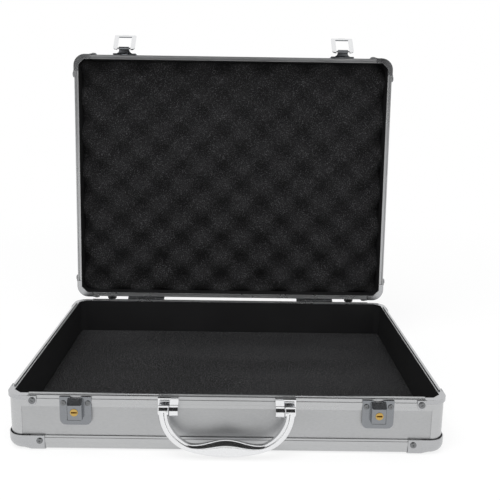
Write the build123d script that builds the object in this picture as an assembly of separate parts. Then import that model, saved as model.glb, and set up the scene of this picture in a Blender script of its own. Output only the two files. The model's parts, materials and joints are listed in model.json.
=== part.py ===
from build123d import *
import os
from math import asin, atan2, cos, degrees, hypot, radians, sin, sqrt

# Aluminium tool case, open. Millimetres, +Z up, front of the case towards -Y.
# Pieces are drawn round the case centre with the base resting on z = 0 and the lid shut,
# then the lid is opened, and at the end everything is moved so that the origin lies
# under the middle of the whole open case.

# Case shell
case_width = 370.0
case_depth = 285.8
base_height = 48.8
lid_height = 36.0
corner_radius = 13.0
lid_gap = 0.3
open_angle = 93.8

# Wall build-up, measured inwards from the outermost plane of the rails
panel_inset = 1.4
panel_thickness = 3.0
liner_thickness = 0.8
rim_width = panel_inset + panel_thickness + liner_thickness
wall_inner = panel_inset + panel_thickness

# Rim rail: a raised band on its face, a head over the panel, a thin flange over the lining
rim_relief = 0.5
rim_band_start = 3.0
rim_band_end = 7.1
rim_face_height = 10.4
rim_head = 3.2
rim_flange = 0.8
groove_width = 2.4
groove_middle = 3.0
groove_depth = 1.7
tongue_clearance = 0.4
tongue_height = 1.3

# Edge rail: an L section round the large panel
edge_face_height = 12.6
edge_leg = 12.6
edge_relief = 0.4
edge_band_low = 6.1
edge_band_high = 10.6
edge_radius = 3.2
edge_thickness = 1.4

# Corner post
post_inset = 1.0
post_stop = 9.0

# Cast rim corner
rim_corner_leg = 19.2
rim_corner_height = 3.8
rim_corner_proud = 0.4
rim_corner_chamfer = 6.5
tab_length = 7.4
tab_height = 9.4
tab_thickness = 0.9
tab_end_sides = 8
tab_lap = 0.4

# Three-way corner cap
cap_leg = 31.7
cap_rise = 12.7
cap_proud = 0.8
cap_edge_thickness = 0.9
cap_ball_radius = 8.0
cap_blend_end = 20.0
cap_flat_end = 8.0
cap_chamfer = 3.5
edge_rail_end = 20.0

# Linings and foam
pad_thickness = 8.0
pad_clearance = 0.3
foam_slab = 6.0
bump_height = 12.0
bump_columns = 14
bump_rows = 12
bump_pitch_x = 24.3
bump_pitch_y = 21.8
bump_field_shift = 5.0
bump_sides = 6
bump_foot_radius = 15.4
bump_waist_radius = 10.4
bump_waist_height = 7.0
bump_tip_radius = 4.2

# Screws and rivets
cap_screw_radius = 2.75
tab_screw_radius = 3.0
plate_screw_radius = 2.45
rivet_radius = 2.0
head_sides = 7
head_crown_share = 0.62
screw_head_height = 1.1
rivet_head_height = 0.7
cap_screw_place = 27.4
cap_screw_drop = 4.6
sole_screw_place = 17.5
sole_screw_clearance = 0.1

# Hinges
hinge_place = 102.0
hinge_width = 43.5
hinge_knuckles = 4
knuckle_radius = 2.2
knuckle_gap = 0.3
hinge_offset = 2.5
hinge_leaf_thickness = 1.2
hinge_leaf_height = 10.0
hinge_pin_radius = 1.0
running_clearance = 0.05
pin_sides = 12
hinge_rivets = 3

# Rubber feet on the rear walls
foot_place = 146.0
foot_wall_radius = 6.3
foot_tip_radius = 5.0
foot_length = 7.4
foot_sides = 16

# Lock on the base front
latch_place = 126.3
lock_plate_width = 26.5
lock_plate_start = 0.8
lock_plate_end = 25.7
lock_plate_thickness = 1.0
lock_plate_corner = 5.0
lock_block_width = 12.3
lock_block_start = 1.8
lock_block_shoulder = 6.0
lock_block_end = 19.6
lock_block_reach = 7.0
lock_block_chamfer = 0.9
lock_screw_place = 10.2
lock_screw_drop = 6.2
recess_end = 23.6
recess_half_width = 6.0
recess_taper = 1.5
recess_depth = 1.8
key_radius = 3.25
key_drop = 12.0
key_proud = 0.4
key_length = 4.9
key_slot_width = 4.8
key_slot_height = 1.1
key_slot_depth = 3.0
bolt_width = 8.8
bolt_thickness = 1.7
bolt_length = 3.1
bolt_place = 4.9
bolt_travel = 1.6
bolt_clearance = 0.15

# Hasp and its bracket on the lid front
hasp_width = 25.1
hasp_opening = 15.0
hasp_thickness = 1.6
hasp_inner_length = 19.9
hasp_crossbar = 2.8
hasp_corner = 3.8
hasp_arm_tail = 2.2
hasp_lip_width = 7.8
hasp_lip_length = 2.0
hasp_pivot_reach = 7.0
hasp_pivot_drop = 1.0
hasp_closed_reach = 2.6
hasp_lean = 45.0
hasp_pin_radius = 0.75
bracket_width = 26.8
bracket_start = 1.2
bracket_end = 13.0
bracket_thickness = 1.6
bracket_neck_width = 11.8
bracket_knuckle_radius = 1.9
bracket_flare = 3.4
bracket_pocket_width = 6.8
bracket_pocket_height = 3.0

# Handle and its brackets on the base front
handle_half_width = 57.0
handle_reach = 38.9
handle_grip_radius = 110.0
handle_corner_radius = 36.0
handle_thickness = 8.5
handle_chamfer = 2.3
handle_arm_width = 8.6
handle_grip_centre = 25.9
handle_dip = 29.6
handle_dip_place = 21.5
handle_bend_radius = 30.0
handle_bend_turn = 62.0
handle_knuckle_radius = 4.3
handle_knuckle_width = 9.4
handle_pivot_reach = 8.0
handle_pivot_drop = 8.5
handle_tilt = 8.0
handle_swing = 87.0
handle_pin_radius = 1.6
lug_width = 7.0
lug_radius = 4.8
lug_start = 1.1
lug_end = 15.9
handle_plate_start = 0.3
handle_plate_end = 17.0
handle_plate_thickness = 1.2
handle_side_gap = 0.4

# Places worked out from the sizes above
rim_z = cap_proud + base_height
lid_z = rim_z + lid_gap
front_y = -case_depth / 2
back_y = case_depth / 2
hinge_y = back_y + hinge_offset
hinge_z = rim_z + lid_gap / 2
hinge_axis = Axis((0, hinge_y, hinge_z), (1, 0, 0))
diagonal = Plane(origin=(0, 0, 0), z_dir=(1, -1, 0))
hasp_length = hasp_inner_length + hasp_crossbar
hasp_middle = hasp_inner_length + hasp_crossbar / 2
hasp_closed_tilt = degrees(asin((hasp_pivot_reach - hasp_closed_reach) / hasp_middle))
hasp_swing = 90 + hasp_lean + hasp_closed_tilt
handle_pivot_y = front_y - handle_pivot_reach
handle_pivot_z = rim_z - handle_pivot_drop


def box(x0, x1, y0, y1, z0, z1):
    """A box from its lowest to its highest corner."""
    return Pos(x0, y0, z0) * Box(x1 - x0, y1 - y0, z1 - z0, align=(Align.MIN, Align.MIN, Align.MIN))


def prism_x(points, x0, x1):
    """A (y, z) outline extruded along x."""
    face = Plane(origin=(x0, 0, 0), x_dir=(0, 1, 0), z_dir=(1, 0, 0)) * Polygon(*points, align=None)
    return extrude(face, amount=x1 - x0)


def prism_y(points, y0, y1):
    """An (x, z) outline extruded along y."""
    face = Plane(origin=(0, y1, 0), x_dir=(1, 0, 0), z_dir=(0, -1, 0)) * Polygon(*points, align=None)
    return extrude(face, amount=y1 - y0)


def rod_x(x0, x1, y, z, radius):
    """A round bar along x."""
    return Pos((x0 + x1) / 2, y, z) * Rot(0, 90, 0) * Cylinder(radius, x1 - x0)


def pin_x(x0, x1, y, z, radius):
    """A slim bar along x, faceted, with its corners at the given radius."""
    plane = Plane(origin=(x0, y, z), x_dir=(0, 1, 0), z_dir=(1, 0, 0))
    return extrude(plane * RegularPolygon(radius, pin_sides), amount=x1 - x0)


def pin_bore_x(x0, x1, y, z, radius):
    """A faceted hole along x whose flats clear a pin of the given radius."""
    return pin_x(x0, x1, y, z, (radius + running_clearance) / cos(radians(180 / pin_sides)))


def rod_y(y0, y1, x, z, radius):
    """A round bar along y."""
    return Pos(x, (y0 + y1) / 2, z) * Rot(90, 0, 0) * Cylinder(radius, y1 - y0)


def rounded_block(inset, radius, z0, z1):
    """The case's plan, drawn in from the outer plane, between two heights."""
    plan = RectangleRounded(case_width - 2 * inset, case_depth - 2 * inset, radius)
    return extrude(Pos(0, 0, z0) * plan, amount=z1 - z0)


def rail(section, end_inset, along_width):
    """One straight rail: its (inwards, up) section run along the front or the side."""
    length = (case_width if along_width else case_depth) - 2 * end_inset
    half_span = (case_depth if along_width else case_width) / 2
    plane = Plane(origin=(-length / 2, -half_span, 0), x_dir=(0, 1, 0), z_dir=(1, 0, 0))
    return extrude(plane * section, amount=length)


def four_rails(section, end_inset):
    """Front, right, back and left rails of one section."""
    long_rail = rail(section, end_inset, True)
    short_rail = rail(section, end_inset, False)
    return [long_rail, Rot(0, 0, 90) * short_rail, Rot(0, 0, 180) * long_rail, Rot(0, 0, 270) * short_rail]


def at_corners(piece):
    """Four copies of a corner piece drawn at (0, 0) with its legs along +x and +y."""
    places = [(-case_width / 2, -case_depth / 2), (case_width / 2, -case_depth / 2),
              (case_width / 2, case_depth / 2), (-case_width / 2, case_depth / 2)]
    return [Pos(x, y, 0) * Rot(0, 0, 90 * turn) * piece for turn, (x, y) in enumerate(places)]


# Half shells. The rim plane is z = 0 and the half hangs below it.

def rim_section(with_tongue):
    """The rim rail's section, with a tongue for the base or a groove for the lid."""
    face = Polygon(
        (rim_relief, 0), (rim_relief, -rim_band_start), (0, -rim_band_start), (0, -rim_band_end),
        (rim_relief, -rim_band_end), (rim_relief, -rim_face_height), (panel_inset, -rim_face_height),
        (panel_inset, -rim_head), (wall_inner, -rim_head), (wall_inner, -rim_flange),
        (rim_width, -rim_flange), (rim_width, 0), align=None)
    if with_tongue:
        tongue = Pos(groove_middle, tongue_height / 2) * Rectangle(groove_width - 2 * tongue_clearance, tongue_height)
        return face + tongue
    return face - Pos(groove_middle, -groove_depth / 2) * Rectangle(groove_width, groove_depth)


def rim_rails(with_tongue):
    """The rim rails, stepped at their ends so that the heads of the rim corners lie over them."""
    side = rim_corner_leg + rim_corner_proud
    middle = (rim_corner_leg - rim_corner_proud) / 2
    heads = at_corners(Pos(middle, middle, 0) * Box(side, side, 2 * rim_corner_height))
    return [rail_piece - heads for rail_piece in four_rails(rim_section(with_tongue), corner_radius)]


def edge_section(height):
    """The edge rail's L section for a half of the given height."""
    foot = -height
    with BuildSketch() as sketch:
        with BuildLine():
            Polyline((edge_relief + edge_radius, foot), (edge_leg, foot), (edge_leg, foot + edge_thickness),
                     (wall_inner, foot + edge_thickness), (wall_inner, foot + edge_thickness + panel_thickness),
                     (panel_inset, foot + edge_thickness + panel_thickness), (panel_inset, foot + edge_face_height),
                     (edge_relief, foot + edge_face_height), (edge_relief, foot + edge_band_high),
                     (0, foot + edge_band_high), (0, foot + edge_band_low), (edge_relief, foot + edge_band_low),
                     (edge_relief, foot + edge_radius))
            RadiusArc((edge_relief, foot + edge_radius), (edge_relief + edge_radius, foot), -edge_radius)
        make_face()
    return sketch.sketch


def wall_panels(height):
    """Front, right, back and left wall panels, from the edge rail up into the rim rail."""
    section = Pos(panel_inset + panel_thickness / 2, (-rim_head - height + edge_thickness + panel_thickness) / 2) \
        * Rectangle(panel_thickness, height - edge_thickness - panel_thickness - rim_head)
    return four_rails(section, corner_radius)


def large_panel(height):
    """The bottom or top panel inside the edge rails."""
    return rounded_block(wall_inner, corner_radius - wall_inner, -height + edge_thickness,
                         -height + edge_thickness + panel_thickness)


def corner_post(height):
    """A quarter-round post between two walls, drawn at a corner."""
    ring = Circle(corner_radius - post_inset) - Circle(corner_radius - wall_inner)
    quarter = ring & Pos(-corner_radius / 2, -corner_radius / 2) * Rectangle(corner_radius, corner_radius)
    plan = Pos(corner_radius, corner_radius, -height + post_stop) * quarter
    return extrude(plan, amount=height - post_stop - rim_head)


def corner_plan(outer, inner_inset, inner_radius, leg):
    """The plan of a corner piece between its outer plane and an inner line, on two legs."""
    square = Pos(leg / 2 + outer / 2, leg / 2 + outer / 2) * Rectangle(leg - outer, leg - outer)
    outside = Pos(corner_radius, corner_radius) * Circle(corner_radius - outer)
    body = square - (Pos((corner_radius + outer) / 2, (corner_radius + outer) / 2)
                     * Rectangle(corner_radius - outer, corner_radius - outer) - outside)
    hole = Pos(inner_inset + leg, inner_inset + leg) * Rectangle(2 * leg, 2 * leg)
    if inner_radius > 0:
        cut_square = Pos(inner_inset + inner_radius / 2, inner_inset + inner_radius / 2) \
            * Rectangle(inner_radius, inner_radius)
        keep = Pos(inner_inset + inner_radius, inner_inset + inner_radius) * Circle(inner_radius)
        hole = hole - (cut_square - keep)
    return body - hole


def rim_corner():
    """The cast corner of the rim, with a screw tab on each leg, drawn at a corner."""
    head = extrude(corner_plan(-rim_corner_proud, wall_inner, corner_radius - wall_inner, rim_corner_leg),
                   amount=-rim_head)
    reach = rim_width + rim_corner_chamfer
    inner = Polygon((rim_width, rim_width), (reach, rim_width), (rim_width, reach), align=None)
    flange_plan = corner_plan(-rim_corner_proud, rim_width, 0, rim_corner_leg) + inner
    flange = extrude(flange_plan, amount=-rim_flange)
    skirt = extrude(corner_plan(-rim_corner_proud, post_inset, corner_radius - post_inset, rim_corner_leg),
                    amount=-rim_corner_height)
    tab_radius = tab_length / 2
    tab_middle = rim_corner_leg + tab_radius - tab_lap
    tab_level = -(tab_height - tab_radius)
    turns = [radians(180 + 180 * step / (tab_end_sides / 2)) for step in range(tab_end_sides // 2 + 1)]
    round_end = [(tab_middle + tab_radius * cos(turn), tab_level + tab_radius * sin(turn)) for turn in turns]
    tab_outline = Polygon((rim_corner_leg - 2 * tab_lap, -rim_corner_proud),
                          (rim_corner_leg - 2 * tab_lap, tab_level), *round_end,
                          (tab_middle + tab_radius, -rim_corner_proud), align=None)
    front_plane = Plane(origin=(0, 0, 0), x_dir=(1, 0, 0), z_dir=(0, -1, 0))
    front_tab = extrude(front_plane * tab_outline, amount=tab_thickness)
    side_tab = mirror(front_tab, diagonal)
    return head + flange + skirt + front_tab + side_tab


def cap_section(radius, height):
    """A leg of the corner cap cut across: wall, rounded edge and a flat strip below."""
    foot = -height
    top = foot + cap_rise
    inside = (2 - sqrt(2)) * radius - 2 * cap_proud + sqrt(2) * cap_edge_thickness
    with BuildSketch() as sketch:
        with BuildLine():
            Polyline((-cap_proud + radius, foot - cap_proud), (cap_flat_end, foot - cap_proud),
                     (cap_flat_end, foot), (inside, foot), (0, foot + inside), (0, top), (-cap_proud, top),
                     (-cap_proud, foot - cap_proud + radius))
            RadiusArc((-cap_proud, foot - cap_proud + radius), (-cap_proud + radius, foot - cap_proud), -radius)
        make_face()
    return sketch.sketch


def cap_half(height):
    """The front leg of the cap from the corner's tangent line outwards."""
    leg_radius = edge_radius + cap_proud
    across = Plane(origin=(corner_radius, 0, 0), x_dir=(0, 1, 0), z_dir=(1, 0, 0))
    start = across * cap_section(cap_ball_radius, height)
    blended = across.offset(cap_blend_end - corner_radius) * cap_section(leg_radius, height)
    blend = loft([start, blended])
    straight = extrude(blended, amount=cap_leg - cap_blend_end)
    leg = blend + straight
    top = -height + cap_rise
    cutter = prism_y([(cap_leg - cap_chamfer, top + 1), (cap_leg + 1, top + 1), (cap_leg + 1, top - cap_chamfer - 1),
                      (cap_leg, top - cap_chamfer), (cap_leg - cap_chamfer, top)], -2 * cap_proud, 2 * cap_proud)
    return leg - cutter


def corner_cap(height):
    """The three-way corner cap, drawn at a corner."""
    front_leg = cap_half(height)
    side_leg = mirror(front_leg, diagonal)
    turn_axis = Axis((corner_radius, corner_radius, 0), (0, 0, -1))
    across = Plane(origin=(corner_radius, 0, 0), x_dir=(0, 1, 0), z_dir=(1, 0, 0))
    ball = revolve(across * cap_section(cap_ball_radius, height), axis=turn_axis, revolution_arc=90)
    start = cap_flat_end - 0.1
    disc = Pos(-cap_proud, -cap_proud) * Circle(cap_leg + cap_proud)
    field = Pos(start + cap_leg / 2, start + cap_leg / 2) * Rectangle(cap_leg, cap_leg)
    screw_hole = Pos(sole_screw_place, sole_screw_place) \
        * RegularPolygon(cap_screw_radius + sole_screw_clearance, head_sides)
    sole = extrude(Pos(0, 0, -height - cap_proud) * ((disc & field) - screw_hole), amount=cap_proud)
    return front_leg + side_leg + ball + sole


def screw_head(radius, height):
    """A low faceted screw or rivet head on z = 0."""
    foot = RegularPolygon(radius, head_sides)
    crown = Pos(0, 0, height) * RegularPolygon(radius * head_crown_share, head_sides)
    return loft([foot, crown], ruled=True)


def on_front(head, x, reach, z):
    """A head drawn on z = 0, placed on the front of the case, reach in front of the rails."""
    return Pos(x, front_y - reach, z) * Rot(90, 0, 0) * head


def sole_screw(height):
    """The flat-headed screw sunk in the sole of a corner cap, drawn at a corner."""
    head = extrude(RegularPolygon(cap_screw_radius, head_sides), amount=cap_proud)
    return Pos(sole_screw_place, sole_screw_place, -height - cap_proud) * head


def corner_heads(height):
    """Screw heads of one corner: two on the cap and one on each rim tab."""
    cap_head = screw_head(cap_screw_radius, screw_head_height)
    tab_head = screw_head(tab_screw_radius, screw_head_height)
    cap_z = -height + cap_rise - cap_screw_drop
    tab_z = -(tab_height - tab_length / 2) + 1.2
    tab_x = rim_corner_leg + tab_length / 2 - tab_lap
    front = [Pos(cap_screw_place, -cap_proud, cap_z) * Rot(90, 0, 0) * cap_head,
             Pos(tab_x, -tab_thickness, tab_z) * Rot(90, 0, 0) * tab_head]
    side = [Pos(-cap_proud, cap_screw_place, cap_z) * Rot(0, -90, 0) * cap_head,
            Pos(-tab_thickness, tab_x, tab_z) * Rot(0, -90, 0) * tab_head]
    return front + side


def shell_heads(height):
    """All screw heads of the four corners and the rivets in the middle of the edge rails."""
    heads = [copy for head in corner_heads(height) + [sole_screw(height)] for copy in at_corners(head)]
    rivet = screw_head(rivet_radius, rivet_head_height)
    rivet_z = -height + (edge_band_low + edge_band_high) / 2
    heads += [Pos(0, -case_depth / 2, rivet_z) * Rot(90, 0, 0) * rivet,
              Pos(0, case_depth / 2, rivet_z) * Rot(-90, 0, 0) * rivet,
              Pos(-case_width / 2, 0, rivet_z) * Rot(0, -90, 0) * rivet,
              Pos(case_width / 2, 0, rivet_z) * Rot(0, 90, 0) * rivet]
    return heads


def lining(height):
    """The thin lining of the walls and of the large panel, open at the rim."""
    floor = -height + edge_thickness + panel_thickness
    outside = rounded_block(wall_inner, corner_radius - wall_inner, floor, -rim_flange)
    inside = rounded_block(rim_width, corner_radius - rim_width, floor + liner_thickness, 1)
    return outside - inside


def floor_pad(height):
    """The flat foam pad on the floor of the base."""
    floor = -height + edge_thickness + panel_thickness + liner_thickness
    inset = rim_width + pad_clearance
    return rounded_block(inset, corner_radius - inset, floor, floor + pad_thickness)


def foam_bump():
    """One bump of the egg-crate foam, standing on z = 0."""
    rings = [(0, bump_foot_radius), (bump_waist_height, bump_waist_radius), (bump_height, bump_tip_radius)]
    levels = [Pos(0, 0, z) * RegularPolygon(radius, bump_sides, rotation=180 / bump_sides) for z, radius in rings]
    return loft(levels, ruled=True)


def egg_crate_foam(height):
    """A slab on the lid's lining with staggered bumps, bumps towards the rim."""
    floor = -height + edge_thickness + panel_thickness + liner_thickness
    inset = rim_width + pad_clearance
    bump = foam_bump()
    bumps = []
    for row in range(bump_rows):
        y = (row - (bump_rows - 1) / 2) * bump_pitch_y + bump_field_shift
        for column in range(row % 2, bump_columns, 2):
            x = (column - (bump_columns - 1) / 2) * bump_pitch_x
            bumps.append(Pos(x, y, floor + foam_slab) * bump)
    slab = rounded_block(inset, corner_radius - inset, floor, floor + foam_slab)
    sheet = rounded_block(inset, corner_radius - inset, floor, floor + foam_slab + bump_height)
    return (slab + bumps) & sheet


def rear_feet(height):
    """Two rubber feet on the rear wall panel."""
    z = -(rim_face_height + height - edge_face_height) / 2
    cone = loft([RegularPolygon(foot_wall_radius, foot_sides),
                 Pos(0, 0, foot_length) * RegularPolygon(foot_tip_radius, foot_sides)], ruled=True)
    return [Pos(x, case_depth / 2 - panel_inset, z) * Rot(-90, 0, 0) * cone for x in (-foot_place, foot_place)]


def half_shell(height, with_tongue):
    """Every fixed piece of one half, with the rim plane on z = 0."""
    front, right, back, left = wall_panels(height)
    return {
        "panel_large": [large_panel(height)],
        "panel_front": [front],
        "panel_right": [right],
        "panel_back": [back],
        "panel_left": [left],
        "rim_rails": rim_rails(with_tongue),
        "edge_rails": four_rails(edge_section(height), edge_rail_end),
        "corner_posts": at_corners(corner_post(height)),
        "rim_corners": at_corners(rim_corner()),
        "corner_caps": at_corners(corner_cap(height)),
        "screws": shell_heads(height),
        "lining": [lining(height)],
        "feet": rear_feet(height),
    }


# Hinges, drawn shut, round x = 0

def knuckle_spans():
    """The x ranges of the knuckles, from left to right."""
    length = (hinge_width - (hinge_knuckles - 1) * knuckle_gap) / hinge_knuckles
    step = length + knuckle_gap
    return [(-hinge_width / 2 + i * step, -hinge_width / 2 + i * step + length) for i in range(hinge_knuckles)]


def hinge_leaf(is_lid):
    """A leaf on the rear rim rail with its own knuckles round the hinge pin."""
    up = 1 if is_lid else -1
    near = knuckle_radius + knuckle_gap
    leaf_y0, leaf_y1 = back_y, back_y + hinge_leaf_thickness
    far_z = hinge_z + up * (hinge_leaf_height + lid_gap / 2)
    near_z = hinge_z + up * near
    leaf = box(-hinge_width / 2, hinge_width / 2, leaf_y0, leaf_y1, min(far_z, near_z), max(far_z, near_z))
    for index, (x0, x1) in enumerate(knuckle_spans()):
        if (index % 2 == 0) != is_lid:
            continue
        strap = box(x0, x1, leaf_y0, leaf_y1, min(hinge_z, near_z), max(hinge_z, near_z))
        bridge = box(x0, x1, leaf_y0 + 0.3, hinge_y, min(hinge_z, hinge_z + up * knuckle_radius),
                     max(hinge_z, hinge_z + up * knuckle_radius))
        leaf = leaf + strap + bridge + pin_x(x0, x1, hinge_y, hinge_z, knuckle_radius)
    return leaf - pin_bore_x(-hinge_width, hinge_width, hinge_y, hinge_z, hinge_pin_radius)


def hinge_pin():
    """The pin through the knuckles."""
    return rod_x(-hinge_width / 2, hinge_width / 2, hinge_y, hinge_z, hinge_pin_radius)


def leaf_rivets(is_lid):
    """Rivets through a leaf into the rim band."""
    up = 1 if is_lid else -1
    z = (lid_z if is_lid else rim_z) + up * (rim_band_start + rim_band_end) / 2
    head = screw_head(rivet_radius, rivet_head_height)
    pitch = hinge_width / hinge_rivets
    places = [(i - (hinge_rivets - 1) / 2) * pitch for i in range(hinge_rivets)]
    return [Pos(x, back_y + hinge_leaf_thickness, z) * Rot(-90, 0, 0) * head for x in places]


# Locks on the base front, drawn round x = 0. s is the distance below the rim plane.

def front_plate(half_width, start, end, reach, corner, backed_from):
    """A plate on the base front with round lower corners, filled back to the panel below the rail."""
    outline = Pos(0, rim_z - (start + end) / 2) * Rectangle(2 * half_width, end - start)
    lower = outline.vertices().sort_by(Axis.Y)[:2]
    outline = fillet(lower, corner)
    plane = Plane(origin=(0, front_y, 0), x_dir=(1, 0, 0), z_dir=(0, -1, 0))
    plate = extrude(plane * outline, amount=reach)
    backing = extrude(plane * outline, amount=-panel_inset)
    keep = box(-half_width, half_width, front_y - 1, front_y + panel_inset, rim_z - end, rim_z - backed_from)
    return plate + (backing & keep)


def lock_plate():
    """The lock plate cast in one with the block that the hasp goes over."""
    plate = front_plate(lock_plate_width / 2, lock_plate_start, lock_plate_end, lock_plate_thickness,
                        lock_plate_corner, rim_face_height)
    half = lock_block_width / 2
    face_y = front_y - lock_block_reach
    root_y = front_y - lock_plate_thickness / 2
    block = prism_x([(root_y, rim_z - lock_block_start), (front_y - lock_plate_thickness - 0.6, rim_z - lock_block_start),
                     (face_y, rim_z - lock_block_shoulder), (face_y, rim_z - lock_block_end + lock_block_chamfer),
                     (face_y + lock_block_chamfer, rim_z - lock_block_end), (root_y, rim_z - lock_block_end)],
                    -half, half)
    block = chamfer(block.edges().filter_by(Axis.Z).group_by(Axis.Y)[0], lock_block_chamfer)
    notch = Pos(0, front_y + 2.2, rim_z - lock_block_start) * Cylinder(5.4, 2.6)
    pocket = prism_y([(-recess_half_width, rim_z - lock_block_end - 0.5), (recess_half_width, rim_z - lock_block_end - 0.5),
                      (recess_half_width - recess_taper, rim_z - recess_end),
                      (-recess_half_width + recess_taper, rim_z - recess_end)],
                     front_y - lock_plate_thickness, front_y - lock_plate_thickness + recess_depth)
    key_bore = rod_y(face_y - 1, face_y - key_proud + key_length + 0.2, 0, rim_z - key_drop,
                     key_radius + running_clearance)
    bolt_bore = box(-bolt_width / 2 - bolt_clearance, bolt_width / 2 + bolt_clearance,
                    front_y - bolt_place - bolt_thickness / 2 - bolt_clearance,
                    front_y - bolt_place + bolt_thickness / 2 + bolt_clearance,
                    rim_z - lock_block_end - 1, rim_z - lock_block_end + bolt_length + 2 * bolt_clearance)
    return plate + block - notch - pocket - key_bore - bolt_bore


def key_cylinder():
    """The brass cylinder with its key slot, turned about the block's axis."""
    face_y = front_y - lock_block_reach - key_proud
    barrel = rod_y(face_y, face_y + key_length, 0, rim_z - key_drop, key_radius)
    slot = box(-key_slot_width / 2, key_slot_width / 2, face_y - 1, face_y + key_slot_depth,
               rim_z - key_drop - key_slot_height / 2, rim_z - key_drop + key_slot_height / 2)
    return barrel - slot


def lock_bolt():
    """The bolt that the key slides down in front of the hasp's crossbar, drawn back."""
    bottom = rim_z - lock_block_end + bolt_clearance
    return box(-bolt_width / 2, bolt_width / 2, front_y - bolt_place - bolt_thickness / 2,
               front_y - bolt_place + bolt_thickness / 2, bottom, bottom + bolt_length)


def lock_screws():
    """The two screws of a lock plate."""
    head = screw_head(plate_screw_radius, screw_head_height * 0.7)
    return [on_front(head, x, lock_plate_thickness, rim_z - lock_screw_drop)
            for x in (-lock_screw_place, lock_screw_place)]


# Hasps on the lid front, drawn shut, round x = 0

hasp_y = front_y - hasp_pivot_reach
hasp_z = rim_z - hasp_pivot_drop


def latch_bracket():
    """The stamped bracket on the lid with the neck that holds the hasp's pin."""
    half = bracket_width / 2
    z0 = lid_z + bracket_start
    z1 = lid_z + bracket_end
    plate = box(-half, half, front_y - bracket_thickness, front_y, z0, z1)
    plate += box(-half, half, front_y - bracket_thickness, front_y + panel_inset, lid_z + rim_face_height, z1)
    neck_half = bracket_neck_width / 2
    away_y = hasp_y - bracket_knuckle_radius
    root = front_y - bracket_thickness / 2
    side_view = prism_x([(root, z0 + 1.2), (root, z1 - 2.5), (front_y - bracket_thickness - 0.8, z1 - 2.5),
                         (away_y + 0.9, hasp_z + 2.6), (away_y, hasp_z), (hasp_y, hasp_z - bracket_knuckle_radius),
                         (hasp_y + bracket_knuckle_radius, hasp_z)], -half, half)
    flare = neck_half + bracket_flare
    outline = Polygon((-flare, front_y), (-flare, front_y - bracket_thickness),
                      (-neck_half - 1.0, front_y - bracket_thickness - 1.2),
                      (-neck_half, front_y - bracket_thickness - 2.8), (-neck_half, away_y - 1),
                      (neck_half, away_y - 1), (neck_half, front_y - bracket_thickness - 2.8),
                      (neck_half + 1.0, front_y - bracket_thickness - 1.2), (flare, front_y - bracket_thickness),
                      (flare, front_y), align=None)
    plan_view = extrude(Pos(0, 0, hasp_z - 5) * outline, amount=z1 - hasp_z + 6)
    neck = (side_view & plan_view) + rod_x(-neck_half, neck_half, hasp_y, hasp_z, bracket_knuckle_radius)
    pocket = box(-bracket_pocket_width / 2, bracket_pocket_width / 2, front_y - 1.2, front_y + 1,
                 z0 - 1, z0 + bracket_pocket_height)
    bore = pin_bore_x(-half, half, hasp_y, hasp_z, hasp_pin_radius)
    return plate + neck - pocket - bore


def hasp_frame():
    """The rectangular hasp frame, hanging straight down from its pivot before it is tilted."""
    half = hasp_width / 2
    inner = hasp_opening / 2
    outline = Pos(0, (hasp_arm_tail - hasp_length) / 2) * Rectangle(hasp_width, hasp_length + hasp_arm_tail)
    outline = fillet(outline.vertices().sort_by(Axis.Y)[2:], hasp_corner)
    outline = fillet(outline.vertices().sort_by(Axis.Y)[:2], hasp_corner / 3)
    opening = Pos(0, (hasp_arm_tail + 1 - hasp_inner_length) / 2) \
        * Rectangle(hasp_opening, hasp_inner_length + hasp_arm_tail + 1)
    plane = Plane(origin=(0, hasp_y + hasp_thickness / 2, hasp_z), x_dir=(1, 0, 0), z_dir=(0, -1, 0))
    frame = extrude(plane * (outline - opening), amount=hasp_thickness)
    lip_half = hasp_lip_width / 2
    end_z = hasp_z - hasp_length
    lip = prism_x([(hasp_y + hasp_thickness / 2, end_z + 0.6), (hasp_y - hasp_thickness / 2, end_z + 0.6),
                   (hasp_y - hasp_thickness / 2 - 1.4, end_z - hasp_lip_length + 0.5),
                   (hasp_y - hasp_thickness / 2 - 0.6, end_z - hasp_lip_length),
                   (hasp_y + hasp_thickness / 2, end_z - 0.6)], -lip_half, lip_half)
    return frame + lip


def hasp_pin():
    """The pin between the hasp's arms that turns in the bracket's knuckle."""
    return pin_x(-hasp_opening / 2, hasp_opening / 2, hasp_y, hasp_z, hasp_pin_radius)


def close_hasp(piece):
    """Tilt a hasp piece from straight down to lying over the lock."""
    return piece.rotate(Axis((0, hasp_y, hasp_z), (1, 0, 0)), hasp_closed_tilt)


def lean_hasp(piece):
    """Swing a closed hasp piece up and back to its stop."""
    return close_hasp(piece).rotate(Axis((0, hasp_y, hasp_z), (1, 0, 0)), -hasp_swing)


# Handle, drawn hanging straight down from its pivot

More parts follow.
